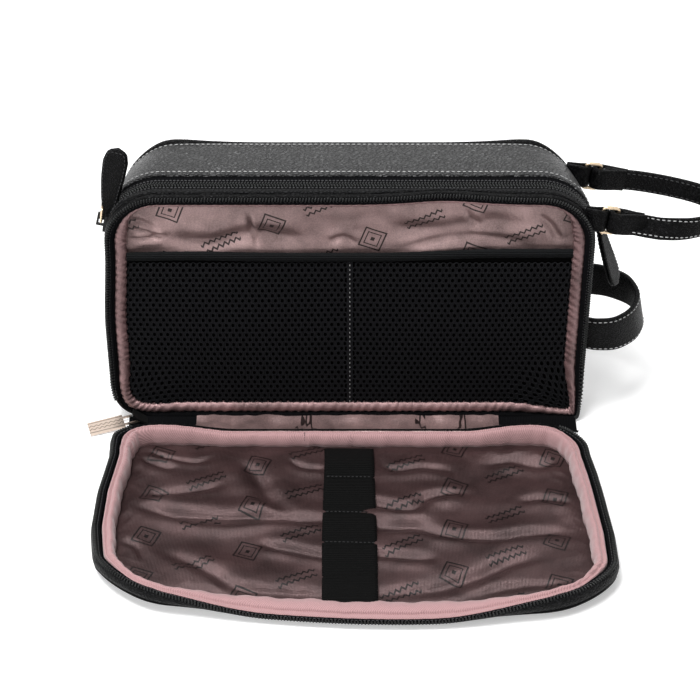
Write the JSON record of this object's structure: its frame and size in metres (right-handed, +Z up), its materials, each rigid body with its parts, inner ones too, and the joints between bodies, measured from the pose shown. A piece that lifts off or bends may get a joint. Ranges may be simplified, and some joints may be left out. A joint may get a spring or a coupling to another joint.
{
  "type": "toiletry bag",
  "caption": "Black leather toiletry bag with a zipped top compartment, a drop-down front flap, mesh pockets, elastic loops, side handle and carry strap.",
  "frame": {"origin": "on the floor under the middle of the bag's body", "axes": "+X to the right towards the carry strap, +Y to the back, +Z up; the flap opens towards -Y"},
  "size_m": [0.352, 0.2204, 0.1725],
  "materials": {
    "black_leather": "grained black leather with a low sheen",
    "satin_lining": "dusty mauve satin",
    "pink_binding": "dusty pink twill",
    "black_mesh": "black nylon mesh",
    "black_tape": "woven black zip tape",
    "black_teeth": "black zip teeth",
    "black_elastic": "ribbed black elastic",
    "pale_gold": "satin pale gold",
    "stiffener": "stiffener board"
  },
  "bodies": {
    "body": {"rear_band": "black_leather", "front_band": "black_leather", "lower_gusset": "black_leather", "back_panel": "black_leather", "rear_piping": "black_leather", "front_piping": "black_leather", "zip_end_tab_left": "black_leather", "zip_end_tab_right": "black_leather", "side_handle": "black_leather", "strap_tab_front": "black_leather", "strap_tab_rear": "black_leather", "main_lining": "satin_lining", "divider_lining": "satin_lining", "recess_lining": "satin_lining", "frame_binding": "satin_lining", "mesh_pocket": "black_mesh", "mesh_binding": "black_elastic", "mesh_centre_tape": "black_elastic", "body_zip_tape": "black_tape", "main_zip_rear_tape": "black_tape", "main_zip_front_tape": "black_tape", "body_zip_teeth": "black_teeth", "main_zip_rear_teeth": "black_teeth", "main_zip_front_teeth": "black_teeth", "base_board": "stiffener", "back_board": "stiffener", "divider_board": "stiffener"},
    "flap": {"flap_panel": "black_leather", "flap_piping": "black_leather", "flap_band": "black_leather", "flap_board": "stiffener", "flap_lining": "satin_lining", "flap_binding": "pink_binding", "flap_zip_tape": "black_tape", "flap_zip_teeth": "black_teeth", "hinge_gusset": "black_leather", "hinge_lining": "satin_lining", "elastic_loops": "black_elastic"},
    "ring_front": {"ring_front": "pale_gold"},
    "ring_rear": {"ring_rear": "pale_gold"},
    "strap": {"carry_strap": "black_leather"},
    "left_slider": {"main_slider_left": "pale_gold"},
    "right_slider": {"main_slider_right": "pale_gold"},
    "front_slider": {"front_slider": "pale_gold"},
    "left_pull": {"pull_link_left": "pale_gold", "leather_puller_left": "black_leather"},
    "right_pull": {"pull_link_right": "pale_gold", "leather_puller_right": "black_leather"},
    "front_pull": {"front_pull": "pale_gold"}
  },
  "joints": [
    {"name": "flap_hinge", "type": "hinge", "parent": "body", "child": "flap", "pos_m": [0, -0.04265, 0.00225], "axis": [-1, 0, 0], "range_deg": [0, 90]},
    {"name": "front_slider_travel", "type": "hinge", "parent": "body", "child": "front_slider", "pos_m": [-0.1, -0.02865, 0.03], "axis": [0, 1, 0], "range_deg": [0, 30]},
    {"name": "front_pull_swing", "type": "hinge", "parent": "front_slider", "child": "front_pull", "pos_m": [-0.11884, -0.02865, 0.00309], "axis": [-0.2924, 0.9563, 0], "range_deg": [0, 36]},
    {"name": "left_slider_travel", "type": "hinge", "parent": "body", "child": "left_slider", "pos_m": [-0.1, -0.014, 0.12], "axis": [0, 1, 0], "range_deg": [-13, 76]},
    {"name": "right_slider_travel", "type": "hinge", "parent": "body", "child": "right_slider", "pos_m": [0.1, -0.014, 0.12], "axis": [0, -1, 0], "range_deg": [-13, 76]},
    {"name": "left_pull_swing", "type": "hinge", "parent": "left_slider", "child": "left_pull", "pos_m": [-0.13194, -0.014, 0.12767], "axis": [0, -1, 0], "range_deg": [0, 165]},
    {"name": "right_pull_swing", "type": "hinge", "parent": "right_slider", "child": "right_pull", "pos_m": [0.13194, -0.014, 0.12767], "axis": [0, -1, 0], "range_deg": [-4, 50]},
    {"name": "ring_front_swing", "type": "hinge", "parent": "body", "child": "ring_front", "pos_m": [0.1325, -0.0232, 0.1335], "axis": [0.1387, 0.0794, 0.9871], "range_deg": [-35, 35]},
    {"name": "ring_rear_swing", "type": "hinge", "parent": "body", "child": "ring_rear", "pos_m": [0.12801, 0.02465, 0.13028], "axis": [0.1387, 0.0794, 0.9871], "range_deg": [-35, 35]},
    {"name": "strap_sway", "type": "hinge", "parent": "ring_front", "child": "strap", "pos_m": [0.14042, -0.0232, 0.13239], "axis": [0.1387, 0.0794, 0.9871], "range_deg": [-35, 35]}
  ],
  "couplings": [
    {"joint": "ring_rear_swing", "follows": "ring_front_swing", "ratio": 1},
    {"joint": "strap_sway", "follows": "ring_front_swing", "ratio": -1}
  ]
}
